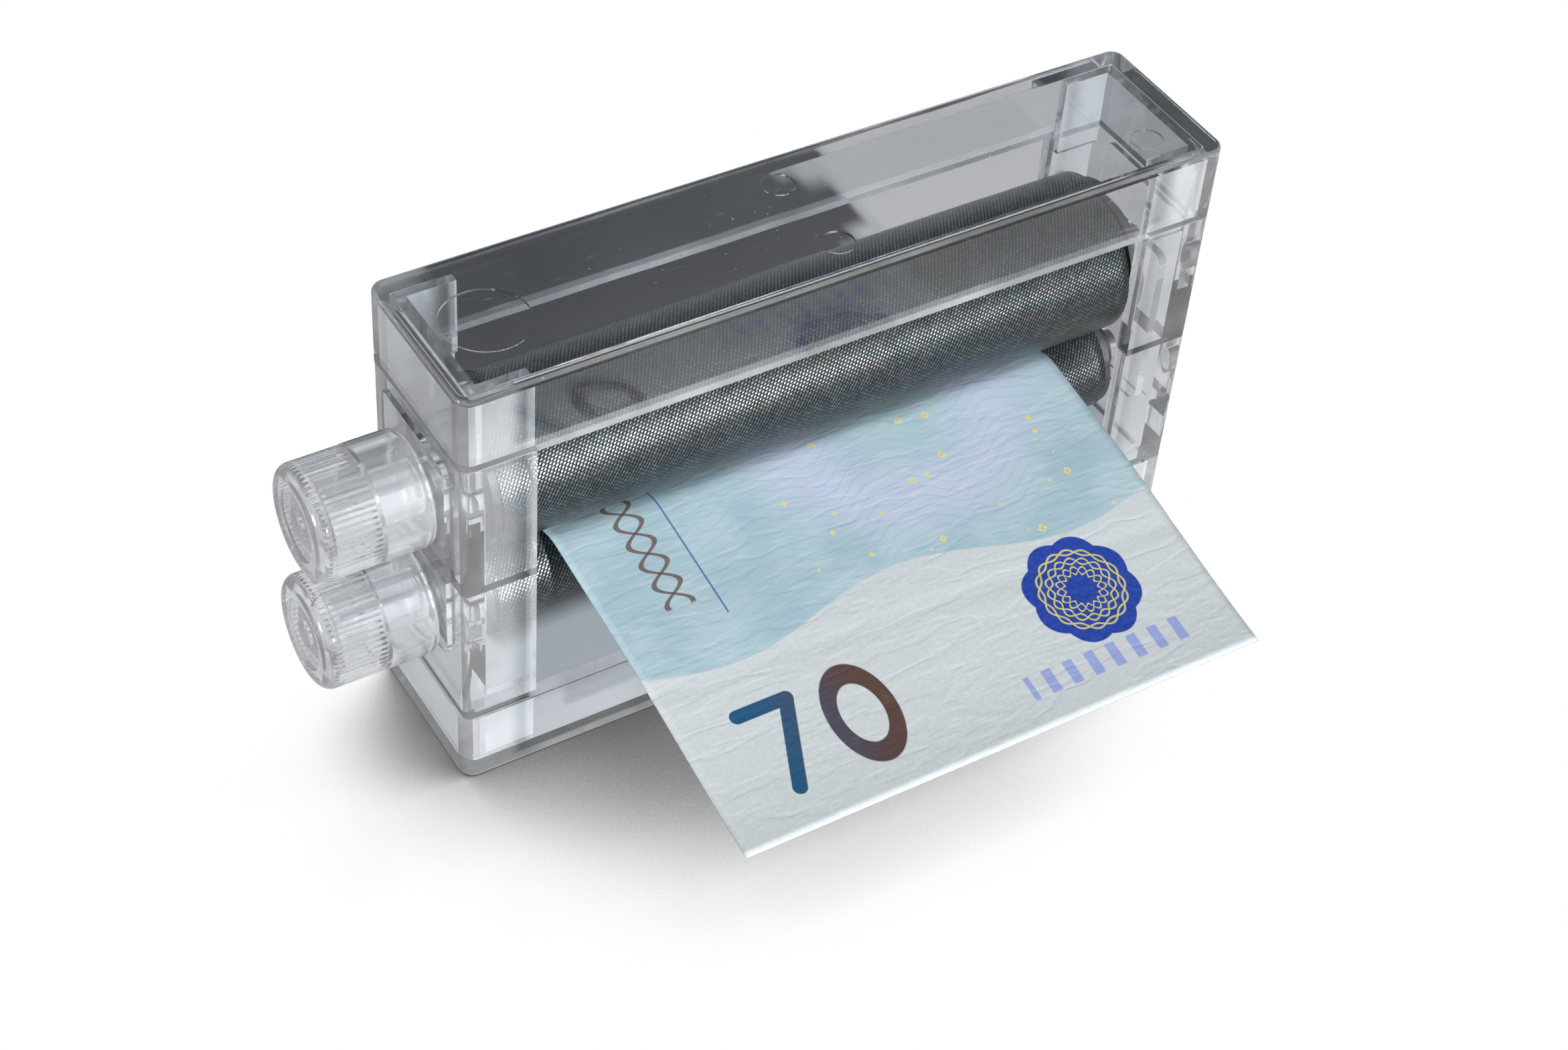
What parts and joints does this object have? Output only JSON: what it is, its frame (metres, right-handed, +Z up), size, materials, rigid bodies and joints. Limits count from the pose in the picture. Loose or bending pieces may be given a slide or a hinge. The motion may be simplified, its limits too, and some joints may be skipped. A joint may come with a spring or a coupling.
{
  "type": "money printing magic machine",
  "caption": "Clear pocket case with knob-turned cloth-wound rollers that take a blank slip in at the back and feed a paper note out at the front.",
  "frame": {"origin": "middle of the base tray's underside", "axes": "+X along the rollers, away from the knobs; -Y the way the note comes out; +Z up"},
  "size_m": [0.1206, 0.0646, 0.0617],
  "materials": {
    "case_clear": "clear moulded polystyrene, glossy, a few ejector marks",
    "frame_clear": "clear moulded polystyrene, glossy",
    "knob_clear": "clear moulded polystyrene, ribbed grip",
    "spindle_clear": "clear moulded polystyrene",
    "black_cloth": "fine black twill with a synthetic glitter in the highlight",
    "roller_black": "black moulded plastic",
    "note_paper": "printed cotton paper, handled and slightly creased"
  },
  "bodies": {
    "case": {"top_cover": "case_clear", "base_tray": "case_clear", "left_lower_frame": "frame_clear", "left_upper_frame": "frame_clear", "right_lower_frame": "frame_clear", "right_upper_frame": "frame_clear"},
    "upper_roller": {"upper_knob": "knob_clear", "upper_spindle": "spindle_clear", "upper_left_disc": "roller_black", "upper_right_disc": "roller_black", "upper_roller_core": "roller_black", "upper_cloth_strip": "roller_black", "upper_cloth_winding": "black_cloth"},
    "lower_roller": {"lower_knob": "knob_clear", "lower_spindle": "spindle_clear", "lower_left_disc": "roller_black", "lower_right_disc": "roller_black", "lower_roller_core": "roller_black", "lower_cloth_strip": "roller_black", "lower_cloth_winding": "black_cloth"},
    "note": {"paper_note": "note_paper"}
  },
  "joints": [
    {"name": "upper_knob_turn", "type": "hinge", "parent": "case", "child": "upper_roller", "pos_m": [0, 0, 0.0401], "axis": [-1, 0, 0], "range_deg": [-260, 45]},
    {"name": "lower_knob_turn", "type": "hinge", "parent": "case", "child": "lower_roller", "pos_m": [0, 0, 0.0224], "axis": [-1, 0, 0], "range_deg": [-63, 361]},
    {"name": "note_feed", "type": "slide", "parent": "case", "child": "note", "axis": [0, -0.9848, -0.1736], "range_m": [-0.046, 0.008]}
  ],
  "couplings": [
    {"joint": "lower_knob_turn", "follows": "upper_knob_turn", "ratio": -1.3868},
    {"joint": "note_feed", "follows": "upper_knob_turn", "m_per_rad": 0.01}
  ]
}
